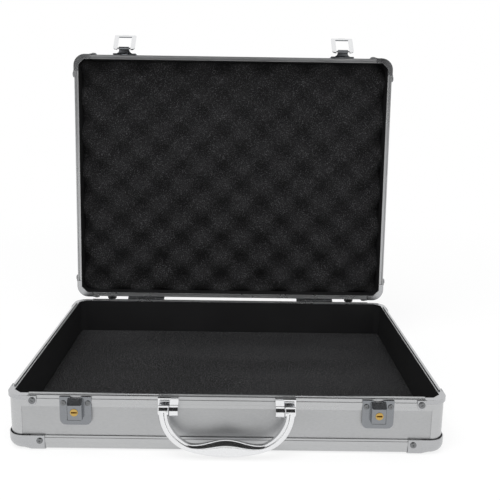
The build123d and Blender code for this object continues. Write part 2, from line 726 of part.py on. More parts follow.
def handle_outline():
    """The bail's outline in (x, distance below the pivot as negative)."""
    corner_x = handle_half_width - handle_corner_radius
    corner_span = sqrt((handle_grip_radius - handle_corner_radius) ** 2 - corner_x ** 2)
    corner_d = handle_reach - handle_grip_radius + corner_span
    grip_centre_d = handle_reach - handle_grip_radius
    lean = atan2(corner_x, corner_d - grip_centre_d)
    join_x = handle_grip_radius * sin(lean)
    join_d = grip_centre_d + handle_grip_radius * cos(lean)
    inner_x = handle_half_width - handle_arm_width
    with BuildSketch() as sketch:
        with BuildLine():
            ThreePointArc((-join_x, -join_d), (0, -handle_reach), (join_x, -join_d))
            RadiusArc((join_x, -join_d), (handle_half_width, -corner_d), -handle_corner_radius)
            RadiusArc((-handle_half_width, -corner_d), (-join_x, -join_d), -handle_corner_radius)
            Line((handle_half_width, -corner_d), (inner_x, -corner_d))
            Line((-inner_x, -corner_d), (-handle_half_width, -corner_d))
            bend = JernArc((inner_x, -corner_d), (0, -1), handle_bend_radius, -handle_bend_turn)
            wave = Spline(bend @ 1, (handle_dip_place, -handle_dip), (0, -handle_grip_centre),
                          tangents=(bend % 1, (-1, 0)))
            mirror(bend, Plane.YZ)
            mirror(wave, Plane.YZ)
        make_face()
    return sketch.sketch


def handle():
    """The bail with its wavy grip and a knuckle at each end."""
    plane = Plane(origin=(0, handle_pivot_y + handle_thickness / 2, handle_pivot_z), x_dir=(1, 0, 0),
                  z_dir=(0, -1, 0))
    bail = extrude(plane * handle_outline(), amount=handle_thickness)
    edges = [edge for edge in bail.edges() if edge.center().Z < handle_pivot_z - 1
             and abs(edge.center().Y - handle_pivot_y) > handle_thickness / 2 - 0.1]
    bail = chamfer(edges, handle_chamfer)
    outer = handle_half_width
    inner = handle_half_width - handle_knuckle_width
    for side in (-1, 1):
        bail += rod_x(min(side * inner, side * outer), max(side * inner, side * outer),
                      handle_pivot_y, handle_pivot_z, handle_knuckle_radius)
    bore = pin_x(-handle_half_width + 1.5, handle_half_width - 1.5, handle_pivot_y, handle_pivot_z,
                 handle_pin_radius)
    return bail - bore


def handle_bracket(side):
    """A bracket plate with the lug that holds the handle's pin on its inner side."""
    inner_face = handle_half_width - handle_knuckle_width - handle_side_gap
    lug_x0 = inner_face - lug_width
    middle = (lug_x0 + handle_half_width + handle_side_gap) / 2
    half = (handle_half_width + handle_side_gap - lug_x0) / 2
    plate = Pos(middle, 0, 0) * front_plate(half, handle_plate_start, handle_plate_end, handle_plate_thickness,
                                            2.0, rim_face_height)
    root_y = front_y - handle_plate_thickness / 2
    top_z = rim_z - lug_start
    low_z = rim_z - lug_end
    reach = lug_radius * 0.62
    lug = prism_x([(root_y, top_z), (front_y - handle_plate_thickness - 1.0, top_z),
                   (handle_pivot_y - reach, handle_pivot_z + reach),
                   (handle_pivot_y - reach, handle_pivot_z - reach),
                   (front_y - handle_plate_thickness - 1.6, low_z), (root_y, low_z)], lug_x0, inner_face)
    lug += rod_x(lug_x0, inner_face, handle_pivot_y, handle_pivot_z, lug_radius)
    ledge = box(inner_face - 0.5, handle_half_width + handle_side_gap, front_y - handle_plate_thickness - 1.4,
                root_y, rim_z - handle_plate_start - 2.0, rim_z - handle_plate_start)
    bore = pin_bore_x(lug_x0 + 1.2, inner_face + 1, handle_pivot_y, handle_pivot_z, handle_pin_radius)
    bracket = plate + lug + ledge - bore
    return bracket if side > 0 else mirror(bracket, Plane.YZ)


def handle_pin(side):
    """The pin pressed into a knuckle and turning in its lug."""
    inner_face = handle_half_width - handle_knuckle_width - handle_side_gap
    x0 = inner_face - lug_width + 1.4
    x1 = handle_half_width - 1.5
    pin = pin_x(x0, x1, handle_pivot_y, handle_pivot_z, handle_pin_radius)
    return pin if side > 0 else mirror(pin, Plane.YZ)


def tilt_handle(piece):
    """Bring a handle piece from straight down to its rest against the floor side."""
    return piece.rotate(Axis((0, handle_pivot_y, handle_pivot_z), (1, 0, 0)), -handle_tilt)


def open_lid(piece):
    """Swing a lid piece from shut to the open rest place."""
    return piece.rotate(hinge_axis, -open_angle)


def build_nodes():
    """Every node at rest, round the case centre."""
    nodes = {}
    names = {"panel_large": "panel_bottom"}
    for key, pieces in half_shell(base_height, True).items():
        nodes["base_" + names.get(key, key)] = [Pos(0, 0, rim_z) * piece for piece in pieces]
    nodes["base_floor_pad"] = [Pos(0, 0, rim_z) * floor_pad(base_height)]

    flip = Plane.XY
    names = {"panel_large": "panel_top"}
    lid_half = half_shell(lid_height, False)
    lid_half["egg_crate_foam"] = [egg_crate_foam(lid_height)]
    for key, pieces in lid_half.items():
        nodes["lid_" + names.get(key, key)] = [open_lid(Pos(0, 0, lid_z) * mirror(piece, flip)) for piece in pieces]

    hinges = [Pos(-hinge_place, 0, 0), Pos(hinge_place, 0, 0)]
    nodes["hinge_base_leaves"] = [place * hinge_leaf(False) for place in hinges]
    nodes["hinge_lid_leaves"] = [open_lid(place * hinge_leaf(True)) for place in hinges]
    nodes["hinge_pins"] = [place * hinge_pin() for place in hinges]
    nodes["base_screws"] += [place * rivet for place in hinges for rivet in leaf_rivets(False)]
    nodes["lid_screws"] += [open_lid(place * rivet) for place in hinges for rivet in leaf_rivets(True)]

    latches = {"left": Pos(-latch_place, 0, 0), "right": Pos(latch_place, 0, 0)}
    nodes["lock_plates"] = [place * lock_plate() for place in latches.values()]
    nodes["base_screws"] += [place * screw for place in latches.values() for screw in lock_screws()]
    nodes["latch_brackets"] = [open_lid(place * latch_bracket()) for place in latches.values()]
    for side, place in latches.items():
        nodes["lock_" + side + "_key_cylinder"] = [place * key_cylinder()]
        nodes["lock_" + side + "_bolt"] = [place * lock_bolt()]
        nodes["latch_" + side + "_frame"] = [open_lid(place * lean_hasp(hasp_frame()))]
        nodes["latch_" + side + "_pin"] = [open_lid(place * lean_hasp(hasp_pin()))]

    nodes["handle"] = [tilt_handle(handle())]
    nodes["handle_brackets"] = [handle_bracket(-1), handle_bracket(1)]
    nodes["handle_pins"] = [tilt_handle(handle_pin(-1)), tilt_handle(handle_pin(1))]
    return nodes


def placed(pieces, shift_y):
    """One shape from a node's solids, moved back or forwards."""
    solids = [Pos(0, shift_y, 0) * solid for piece in pieces for solid in piece.solids()]
    return solids[0] if len(solids) == 1 else Compound(solids)


nodes = build_nodes()
whole = Compound([placed(pieces, 0) for pieces in nodes.values()]).bounding_box()
middle_y = (whole.min.Y + whole.max.Y) / 2

os.makedirs("parts", exist_ok=True)
for node_name, pieces in nodes.items():
    export_step(placed(pieces, -middle_y), "parts/" + node_name + ".step")
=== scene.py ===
import json
import math

import bmesh
import bpy
from bpy.props import FloatProperty, FloatVectorProperty, IntProperty, PointerProperty
from mathutils import Matrix, Vector


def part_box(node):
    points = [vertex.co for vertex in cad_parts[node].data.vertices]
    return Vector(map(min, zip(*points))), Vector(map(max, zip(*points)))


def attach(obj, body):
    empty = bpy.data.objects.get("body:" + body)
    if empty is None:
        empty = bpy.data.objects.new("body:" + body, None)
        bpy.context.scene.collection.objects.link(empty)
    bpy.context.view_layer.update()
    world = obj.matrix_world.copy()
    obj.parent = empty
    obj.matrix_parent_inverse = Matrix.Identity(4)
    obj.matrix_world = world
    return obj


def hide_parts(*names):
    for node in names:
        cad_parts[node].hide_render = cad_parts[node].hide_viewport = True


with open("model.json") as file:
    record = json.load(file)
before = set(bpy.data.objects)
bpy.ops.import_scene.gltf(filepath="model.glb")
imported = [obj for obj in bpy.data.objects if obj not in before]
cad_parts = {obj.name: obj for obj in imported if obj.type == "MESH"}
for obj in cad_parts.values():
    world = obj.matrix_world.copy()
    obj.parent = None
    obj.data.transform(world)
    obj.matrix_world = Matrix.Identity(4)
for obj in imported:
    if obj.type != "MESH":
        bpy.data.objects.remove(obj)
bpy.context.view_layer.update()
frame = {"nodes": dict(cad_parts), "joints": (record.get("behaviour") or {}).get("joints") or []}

bl_info = {
    "name": "Aluminium Tool Case",
    "version": (1, 0, 0),
    "blender": (4, 5, 0),
    "location": "View3D > Sidebar > Tool Case",
    "description": "Dresses the packed model of an open aluminium tool case and sets its studio",
    "category": "Add Mesh",
}

JOINTS = {joint["name"]: joint for joint in frame["joints"]}

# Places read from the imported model, in metres
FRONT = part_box("base_rim_rails")[0].y
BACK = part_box("base_rim_rails")[1].y
MIDDLE = (FRONT + BACK) / 2
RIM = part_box("base_rim_corners")[1].z
HINGE = Vector(JOINTS["lid_hinge"]["pos_m"])
OPEN_ANGLE = math.radians(JOINTS["lid_hinge"]["range_deg"][1])
OPENED = (Matrix.Translation(HINGE) @ Matrix.Rotation(-OPEN_ANGLE, 4, "X")
          @ Matrix.Translation(-HINGE))
# The height of the closed lid's rim, which lies opposite the base's rim about the hinge line
LID_RIM = 2 * HINGE.z - RIM
# A lid piece is drawn like a base piece, with the rim plane at z = 0 and the panel below it
LID_SEAT = OPENED @ Matrix.Translation((0, MIDDLE, LID_RIM)) @ Matrix.Rotation(math.pi, 4, "X")

# Shape values that a user has no need to change, in metres. A softness is a broken edge's width
MERGE_DISTANCE = 0.000002
SEAM_DISTANCE = 0.00001
CASTING_SOFTNESS = 0.00035
PLATE_SOFTNESS = 0.0003
LINING_SOFTNESS = 0.0002
FOOT_SOFTNESS = 0.0009
LID_HALF_HEIGHT = 0.018
SMALLEST_SCREW_RADIUS = 0.0022
FOAM_CORNER_RADIUS = 0.0075
FOAM_BORDER, FOAM_BORDER_DROP = 0.004, 0.0012
PAD_BORDER, PAD_BORDER_DROP = 0.005, 0.0015
PAD_SINK, PAD_RIPPLE = 0.0004, 0.0002
KNUCKLE_RADIUS, KNUCKLE_ROUNDING = 0.0043, 0.0011

# Counts, angles and shares of the same shapes. The slot turn is in degrees from screw to screw
FLAT_ANGLE = math.radians(0.6)
SLOT_TURN = 37
BUMP_COLUMNS, BUMP_ROWS = 14, 12
# How much of a bump's form is the fuller curve, the rest being a plain wave
BUMP_FULLNESS = 0.35
PAD_STEPS = (90, 70)
BAIL_STEPS = (48, 96)
# Where the front of the bail's section is fullest, from -1 at its inner side to 1 at its outer side
BAIL_CREST = -0.12

# How the finishes vary, as factors of a finish's own colour or roughness
PATCH_ROUGHNESS = (0.9, 1.12)
SCRATCH_SHADE = 1.12
FOAM_SHADES = (0.7, 1.35)
BAND_SHADE = 2.6
# Depths of the bumps in the finishes, in metres
BRUSHING_DEPTH = 0.00008
CELL_DEPTH = 0.0006

# The studio's lengths in metres, its shades from 0 to 1, and the sensor's width in millimetres
FLOOR_SIZE = 8.0
FLOOR_SHADE = 0.97
SHADOW_REACH = (0.25, 1.1)
NEAR_GLOW = 0.78
SENSOR_WIDTH = 36.0

# Filled while the script runs: the shared node groups by their maker, and the finishes by name
GROUPS = {}
FINISHES = {}


# Sizes and colours

class ToolCaseMetal(bpy.types.PropertyGroup):
    """Edge width and colours of the metal parts"""
    edge_softness: FloatProperty(
        name="Edge softness", description="Width of the broken edge on rails, posts and hinge leaves",
        default=0.00022, min=0.00005, max=0.001, unit="LENGTH")
    satin_colour: FloatVectorProperty(
        name="Sheet colour", description="Colour of the satin sheet",
        default=(0.47, 0.475, 0.48), subtype="COLOR", min=0, max=1)
    rail_colour: FloatVectorProperty(
        name="Rail colour", description="Colour of the extruded rails",
        default=(0.5, 0.505, 0.51), subtype="COLOR", min=0, max=1)
    casting_colour: FloatVectorProperty(
        name="Casting colour", description="Colour of the corner castings",
        default=(0.46, 0.465, 0.475), subtype="COLOR", min=0, max=1)
    chrome_colour: FloatVectorProperty(
        name="Chrome colour", description="Colour of the handle, its brackets and the hasp frames",
        default=(0.8, 0.805, 0.815), subtype="COLOR", min=0, max=1)
    nickel_colour: FloatVectorProperty(
        name="Nickel colour", description="Colour of the lock plates and latch brackets",
        default=(0.25, 0.26, 0.275), subtype="COLOR", min=0, max=1)
    steel_colour: FloatVectorProperty(
        name="Steel colour", description="Colour of screws, rivets, pins, bolts and hinge leaves",
        default=(0.2, 0.205, 0.21), subtype="COLOR", min=0, max=1)
    brass_colour: FloatVectorProperty(
        name="Brass colour", description="Colour of the key cylinders",
        default=(0.54, 0.36, 0.11), subtype="COLOR", min=0, max=1)


class ToolCaseFoam(bpy.types.PropertyGroup):
    """Sizes of the egg-crate foam, and colours of foam, lining and rubber"""
    bump_pitch_x: FloatProperty(
        name="Bump pitch across", description="Half the spacing of bumps in one row",
        default=0.0243, min=0.01, max=0.06, unit="LENGTH")
    bump_pitch_y: FloatProperty(
        name="Row pitch", description="Spacing of the rows of bumps",
        default=0.0218, min=0.01, max=0.06, unit="LENGTH")
    bump_height: FloatProperty(
        name="Bump height", description="Height of a bump over the valleys",
        default=0.012, min=0.002, max=0.02, unit="LENGTH")
    slab_height: FloatProperty(
        name="Slab height", description="Foam left under the valleys",
        default=0.006, min=0.002, max=0.02, unit="LENGTH")
    row_shift: FloatProperty(
        name="Row shift", description="How far the field of bumps sits towards the hinge",
        default=0.005, min=-0.02, max=0.02, unit="LENGTH")
    steps_across: IntProperty(
        name="Steps across", description="Faces across the foam sheet",
        default=176, min=40, max=260)
    steps_deep: IntProperty(
        name="Steps deep", description="Faces from front to hinge",
        default=134, min=40, max=200)
    foam_colour: FloatVectorProperty(
        name="Foam colour", description="Colour of the charcoal foam",
        default=(0.008, 0.008, 0.0084), subtype="COLOR", min=0, max=1)
    fleck_colour: FloatVectorProperty(
        name="Fleck colour", description="Colour of the bright cell walls",
        default=(0.085, 0.085, 0.088), subtype="COLOR", min=0, max=1)
    lining_colour: FloatVectorProperty(
        name="Lining colour", description="Colour of the wall lining",
        default=(0.009, 0.009, 0.0095), subtype="COLOR", min=0, max=1)
    rubber_colour: FloatVectorProperty(
        name="Rubber colour", description="Colour of the rear feet",
        default=(0.015, 0.015, 0.015), subtype="COLOR", min=0, max=1)


class ToolCaseHandle(bpy.types.PropertyGroup):
    """Sizes of the bail handle"""
    half_width: FloatProperty(
        name="Half width", description="From the middle to the outer side of an arm",
        default=0.057, unit="LENGTH")
    arm_width: FloatProperty(
        name="Arm width", description="Width of an arm at its knuckle",
        default=0.0086, unit="LENGTH")
    reach: FloatProperty(
        name="Reach", description="From the pivot to the far side of the grip",
        default=0.0389, unit="LENGTH")
    grip_radius: FloatProperty(
        name="Grip radius", description="Radius of the grip's outer side",
        default=0.110, unit="LENGTH")
    corner_radius: FloatProperty(
        name="Corner radius", description="Radius of the outer corners",
        default=0.036, unit="LENGTH")
    bend_radius: FloatProperty(
        name="Bend radius", description="Radius of the inner corners",
        default=0.030, unit="LENGTH")
    bend_turn: FloatProperty(
        name="Bend turn", description="How far the inner corners turn",
        default=math.radians(62), subtype="ANGLE")
    finger_rise: FloatProperty(
        name="Finger rise", description="From the pivot to the middle of the grip's inner side",
        default=0.0234, unit="LENGTH")
    finger_dip: FloatProperty(
        name="Finger dip", description="From the pivot to the dips beside the middle",
        default=0.0276, unit="LENGTH")
    dip_place: FloatProperty(
        name="Dip place", description="From the middle to a dip",
        default=0.0265, unit="LENGTH")
    thickness: FloatProperty(
        name="Thickness", description="Thickness of the bail",
        default=0.0085, unit="LENGTH")
    knuckle_width: FloatProperty(
        name="Knuckle width", description="Width of a knuckle",
        default=0.0094, unit="LENGTH")
    tilt: FloatProperty(
        name="Tilt", description="How far the hanging bail stands out from the wall",
        default=math.radians(8), subtype="ANGLE")


class ToolCaseStudio(bpy.types.PropertyGroup):
    """Camera, light and what the metal reflects"""
    camera_place: FloatVectorProperty(
        name="Camera place", description="Camera place in the frame of the model",
        default=(0.00479, FRONT - 0.57244, RIM + 0.25108), subtype="TRANSLATION", unit="LENGTH")
    camera_pitch: FloatProperty(
        name="Camera pitch", description="Tilt from the horizon, below 0 when looking down",
        default=-0.2154, subtype="ANGLE")
    camera_roll: FloatProperty(
        name="Camera roll", description="Turn about the line of sight",
        default=0.0149, subtype="ANGLE")
    camera_yaw: FloatProperty(
        name="Camera yaw", description="Turn to the side",
        default=-0.0051, subtype="ANGLE")
    camera_lens: FloatProperty(
        name="Camera lens", description="Focal length on a 36 mm sensor",
        default=53.006, unit="CAMERA")
    camera_shift: FloatProperty(
        name="Camera shift", description="Sideways shift of the frame, in frame widths",
        default=0.0228)
    key_power: FloatProperty(
        name="Key light", description="Power of the softbox over the case",
        default=14.0, unit="POWER")
    fill_power: FloatProperty(
        name="Fill light", description="Power of the softbox in front of the case",
        default=7.0, unit="POWER")
    sky_level: FloatProperty(
        name="Sky level", description="Brightness of the room on the object",
        default=0.7)
    card_level: FloatProperty(
        name="Card level", description="Brightness of the dark cards that the metal reflects",
        default=0.03)


# Modelling helpers

def rest():
    """Leaves edit mode and deselects everything."""
    if bpy.context.object is not None and bpy.context.object.mode != "OBJECT":
        bpy.ops.object.mode_set(mode="OBJECT")
    bpy.ops.object.select_all(action="DESELECT")


def alone(*pieces):
    """Selects these pieces only, the first one active."""
    rest()
    for piece in pieces:
        piece.select_set(True)
    bpy.context.view_layer.objects.active = pieces[0]


def begin(name, primitive, **settings):
    """Adds a primitive as the start of a piece and opens it in edit mode with nothing selected."""
    rest()
    primitive(**settings)
    piece = bpy.context.object
    if piece is None or piece.type != "MESH":
        raise RuntimeError("no primitive was added for " + name)
    piece.name = piece.data.name = name
    bpy.ops.object.transform_apply(location=True, rotation=True, scale=True)
    bpy.ops.object.mode_set(mode="EDIT")
    bpy.ops.mesh.select_all(action="DESELECT")
    return piece


def pick(piece, kind, test):
    """In edit mode, selects the edges or faces for which the test holds."""
    mesh = bmesh.from_edit_mesh(piece.data)
    bpy.ops.mesh.select_all(action="DESELECT")
    bpy.context.tool_settings.mesh_select_mode = (False, kind == "EDGE", kind == "FACE")
    chosen = [part for part in (mesh.edges if kind == "EDGE" else mesh.faces) if test(part)]
    if not chosen:
        raise RuntimeError("nothing to select on " + piece.name)
    for part in chosen:
        part.select_set(True)
    mesh.select_flush_mode()
    bmesh.update_edit_mesh(piece.data)


def apply_modifier(piece, kind, **settings):
    """Adds a modifier, sets it and applies it."""
    alone(piece)
    modifier = piece.modifiers.new(kind.title(), kind)
    for key, value in settings.items():
        setattr(modifier, key, value)
    bpy.ops.object.modifier_apply(modifier=modifier.name)


def twin(piece, name, matrix=None):
    """A copy of a piece with its own mesh, moved by a matrix."""
    copy = bpy.data.objects.new(name, piece.data.copy())
    copy.data.name = name
    bpy.context.scene.collection.objects.link(copy)
    if matrix is not None:
        move(copy, matrix)
    return copy


def move(piece, matrix):
    """Moves the mesh itself, so that the object stays at the origin."""
    piece.data.transform(matrix)
    if matrix.determinant() < 0:
        piece.data.flip_normals()
    piece.data.update()


def fuse(name, pieces):
    """Joins pieces into one object."""
    alone(*pieces)
    bpy.ops.object.join()
    whole = bpy.context.view_layer.objects.active
    whole.name = whole.data.name = name
    return whole


def smooth(piece, angle=38.0, weighted=True):
    """Smooth shading with flat faces kept flat."""
    alone(piece)
    bpy.ops.object.shade_smooth_by_angle(angle=math.radians(angle))
    if weighted:
        apply_modifier(piece, "WEIGHTED_NORMAL", keep_sharp=True)


def hand_over(piece, body, slot, finish, *nodes):
    """Gives a finished piece its finish and its body, and hides the nodes that it stands for."""
    piece.data.materials.clear()
    piece.data.materials.append(FINISHES[finish])
    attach(piece, body)
    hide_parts(*nodes)


def from_node(node, name):
    """A merged copy of a CAD node's mesh, with the flat faces joined up again."""
    copy = twin(frame["nodes"][node], name)
    copy.data.materials.clear()
    alone(copy)
    bpy.ops.object.mode_set(mode="EDIT")
    bpy.ops.mesh.select_all(action="SELECT")
    bpy.ops.mesh.remove_doubles(threshold=MERGE_DISTANCE)
    bpy.ops.mesh.dissolve_limited(angle_limit=FLAT_ANGLE)
    bpy.ops.object.mode_set(mode="OBJECT")
    return copy


def softened(node, name, body, slot, finish, width=None, angle=34.0, segments=2):
    """A CAD node's shape with its sharp edges broken, in place of the node."""
    piece = from_node(node, name)
    width = width or bpy.context.scene.tool_case_metal.edge_softness
    apply_modifier(piece, "BEVEL", width=width, segments=segments, limit_method="ANGLE",
                   angle_limit=math.radians(angle), use_clamp_overlap=True, miter_outer="MITER_ARC")
    smooth(piece)
    hand_over(piece, body, slot, finish, node)


def islands(node, undo):
    """The separate solids of a node moved by a matrix, each as its lowest and highest corner."""
    mesh = bmesh.new()
    mesh.from_mesh(frame["nodes"][node].data)
    bmesh.ops.remove_doubles(mesh, verts=mesh.verts, dist=MERGE_DISTANCE)
    seen, found = set(), []
    for start in mesh.verts:
        if start.index in seen:
            continue
        stack, points = [start], []
        seen.add(start.index)
        while stack:
            vert = stack.pop()
            points.append(undo @ vert.co)
            for edge in vert.link_edges:
                other = edge.other_vert(vert)
                if other.index not in seen:
                    seen.add(other.index)
                    stack.append(other)
        low = Vector([min(p[i] for p in points) for i in range(3)])
        high = Vector([max(p[i] for p in points) for i in range(3)])
        found.append((low, high))
    mesh.free()
    return found


# Finishes

def connect(tree, value, socket):
    """Links a socket to an input, or sets the input to a plain value."""
    if isinstance(value, bpy.types.NodeSocket):
        tree.links.new(value, socket)
    else:
        socket.default_value = value


def feed(tree, node, **inputs):
    """Connects a node's inputs by name, with an underscore for each space."""
    for key, value in inputs.items():
        connect(tree, value, node.inputs[key.replace("_", " ")])
    return node


def add(tree, kind, place=(0, 0), **inputs):
    """A shader node with its inputs set by name or linked."""
    node = tree.nodes.new(kind)
    node.location = place
    return feed(tree, node, **inputs)


def calculated(tree, operation, place, *values, clamp=False):
    """The result of a Math node on these values."""
    node = add(tree, "ShaderNodeMath", place)
    node.operation = operation
    node.use_clamp = clamp
    for socket, value in zip(node.inputs, values):
        connect(tree, value, socket)
    return node.outputs["Value"]


def new_group(name, values, outputs):
    """An empty shader node group that takes a vector and named values, and gives named values."""
    group = bpy.data.node_groups.new(name, "ShaderNodeTree")
    group.interface.new_socket(name="Vector", in_out="INPUT", socket_type="NodeSocketVector")
    for label, value in values.items():
        socket = group.interface.new_socket(name=label, in_out="INPUT", socket_type="NodeSocketFloat")
        socket.default_value = value
    for label in outputs:
        group.interface.new_socket(name=label, in_out="OUTPUT", socket_type="NodeSocketFloat")
    enter = group.nodes.new("NodeGroupInput")
    leave = group.nodes.new("NodeGroupOutput")
    enter.location, leave.location = (-900, 0), (900, 0)
    return group, enter.outputs, leave


def brushed_grain():
    """Fine parallel brushing along the piece, as a height and a shade, with slow patches."""
    group, given, leave = new_group("Brushed grain", {"Line Scale": 2600.0, "Patch Scale": 9.0},
                                    ("Height", "Shade", "Patches"))
    lines = add(group, "ShaderNodeTexNoise", (-300, 200), Vector=given["Vector"],
                Scale=given["Line Scale"], Detail=3.0, Roughness=0.6).outputs["Fac"]
    patches = add(group, "ShaderNodeTexNoise", (-300, -150), Vector=given["Vector"],
                  Scale=given["Patch Scale"], Detail=2.0, Roughness=0.5)
    shade = add(group, "ShaderNodeMapRange", (100, 200), Value=lines, From_Min=0.3, From_Max=0.7)
    feed(group, leave, Height=lines, Shade=shade.outputs["Result"], Patches=patches.outputs["Fac"])
    return group


def handling_marks():
    """Faint smudges and short scratches left by use, as a mask from 0 to 1."""
    group, given, leave = new_group("Handling marks", {"Smudge Scale": 18.0, "Scratch Scale": 160.0},
                                    ("Smudges", "Scratches"))
    smudge = add(group, "ShaderNodeTexNoise", (-400, 200), Vector=given["Vector"],
                 Scale=given["Smudge Scale"], Detail=4.0, Roughness=0.55, Distortion=0.6)
    smudges = add(group, "ShaderNodeMapRange", (-100, 200), Value=smudge.outputs["Fac"],
                  From_Min=0.42, From_Max=0.72).outputs["Result"]
    scratch = add(group, "ShaderNodeTexVoronoi", (-400, -200), Vector=given["Vector"],
                  Scale=given["Scratch Scale"])
    scratch.feature = "DISTANCE_TO_EDGE"
    scratches = add(group, "ShaderNodeMapRange", (-100, -200), Value=scratch.outputs["Distance"],
                    From_Min=0.02, From_Max=0.0).outputs["Result"]
    feed(group, leave, Smudges=smudges,
         Scratches=calculated(group, "MULTIPLY", (200, -100), smudges, scratches))
    return group


def cell_grain():
    """Open foam or fleece grain: flecks, a height and slow shade changes."""
    group, given, leave = new_group(
        "Cell grain", {"Cell Scale": 1100.0, "Fleck Level": 0.62, "Shade Scale": 22.0},
        ("Flecks", "Height", "Shade"))
    fine = add(group, "ShaderNodeTexNoise", (-500, 250), Vector=given["Vector"],
               Scale=given["Cell Scale"], Detail=2.0, Roughness=0.7)
    above = calculated(group, "SUBTRACT", (-250, 250), fine.outputs["Fac"], given["Fleck Level"])
    flecks = calculated(group, "MULTIPLY", (-50, 250), above, 9.0, clamp=True)
    cells = add(group, "ShaderNodeTexVoronoi", (-500, -50), Vector=given["Vector"],
                Scale=given["Cell Scale"])
    shade = add(group, "ShaderNodeTexNoise", (-500, -350), Vector=given["Vector"],
                Scale=given["Shade Scale"], Detail=3.0, Roughness=0.5)
    feed(group, leave, Flecks=flecks, Height=cells.outputs["Distance"], Shade=shade.outputs["Fac"])
    return group


def group_node(tree, maker, place, **inputs):
    """Places a shared node group in a material, and makes the group the first time."""
    if maker not in GROUPS:
        GROUPS[maker] = maker()
    node = tree.nodes.new("ShaderNodeGroup")
    node.node_tree = GROUPS[maker]
    node.location = place
    return feed(tree, node, **inputs)


def blank_finish(name):
    """A new material with its shader, ready for its nodes."""
    material = bpy.data.materials.new(name)
    material.use_nodes = True
    tree = material.node_tree
    return material, tree, tree.nodes["Principled BSDF"]


def mixed_colour(tree, factor, first, second, place):
    """A colour between two, by a factor."""
    mix = tree.nodes.new("ShaderNodeMix")
    mix.data_type = "RGBA"
    mix.location = place
    tree.links.new(factor, mix.inputs["Factor"])
    # Inputs 6 and 7 and output 2 are the ones of a Mix node that hold colours
    for socket, value in ((mix.inputs[6], first), (mix.inputs[7], second)):
        connect(tree, value if isinstance(value, bpy.types.NodeSocket) else (*value, 1.0), socket)
    return mix.outputs[2]


def shaded(colour, factor):
    """A colour made lighter or darker."""
    return tuple(min(1.0, part * factor) for part in colour)


def metal_finish(name, colour, roughness, grain_direction, line_scale, grain, contrast, marks):
    """Metal with brushing along one direction, faint patches, smudges and scratches."""
    material, tree, shader = blank_finish(name)
    place = add(tree, "ShaderNodeTexCoord", (-1500, 0)).outputs["Object"]
    mapping = add(tree, "ShaderNodeMapping", (-1300, 100), Vector=place,
                  Scale=tuple(1.0 / part for part in grain_direction))
    brushed = group_node(tree, brushed_grain, (-1050, 150), Vector=mapping.outputs["Vector"],
                         Line_Scale=line_scale).outputs
    marked = group_node(tree, handling_marks, (-1050, -150), Vector=place).outputs
    lines = mixed_colour(tree, brushed["Shade"], shaded(colour, 1 - contrast),
                         shaded(colour, 1 + contrast), (-700, 250))
    worn = mixed_colour(tree, marked["Scratches"], lines, shaded(colour, SCRATCH_SHADE), (-500, 250))
    smoother, rougher = (roughness * factor for factor in PATCH_ROUGHNESS)
    patches = add(tree, "ShaderNodeMapRange", (-700, 0), Value=brushed["Patches"], To_Min=smoother,
                  To_Max=rougher).outputs["Result"]
    rough = calculated(tree, "MULTIPLY_ADD", (-450, -50), marked["Smudges"], marks, patches)
    bump = add(tree, "ShaderNodeBump", (-450, -350), Strength=grain, Distance=BRUSHING_DEPTH,
               Height=brushed["Height"])
    feed(tree, shader, Base_Color=worn, Roughness=rough, Metallic=1.0, Normal=bump.outputs["Normal"])
    return material


def foam_finish(name, colour, fleck, cell_scale, fleck_level, bump_strength, roughness, bands):
    """Charcoal open-cell foam with bright flecks, and soft bands across it where they are wanted."""
    material, tree, shader = blank_finish(name)
    place = add(tree, "ShaderNodeTexCoord", (-1500, 0)).outputs["Object"]
    cells = group_node(tree, cell_grain, (-1100, 100), Vector=place, Cell_Scale=cell_scale,
                       Fleck_Level=fleck_level).outputs
    darker, lighter = (shaded(colour, factor) for factor in FOAM_SHADES)
    shade = mixed_colour(tree, cells["Shade"], darker, lighter, (-800, 250))
    if bands:
        stretched = add(tree, "ShaderNodeMapping", (-1300, -300), Vector=place, Scale=(0.25, 1.0, 1.0))
        soft = add(tree, "ShaderNodeTexNoise", (-1050, -300), Vector=stretched.outputs["Vector"],
                   Scale=26.0, Detail=1.0, Roughness=0.4)
        band = add(tree, "ShaderNodeMapRange", (-800, -250), Value=soft.outputs["Fac"], From_Min=0.45,
                   From_Max=0.7, To_Max=bands)
        shade = mixed_colour(tree, band.outputs["Result"], shade, shaded(colour, BAND_SHADE), (-600, 250))
    flecked = mixed_colour(tree, cells["Flecks"], shade, fleck, (-400, 250))
    bump = add(tree, "ShaderNodeBump", (-450, -150), Strength=bump_strength, Distance=CELL_DEPTH,
               Height=cells["Height"])
    feed(tree, shader, Base_Color=flecked, Roughness=roughness, Specular_IOR_Level=0.25,
         Normal=bump.outputs["Normal"])
    return material


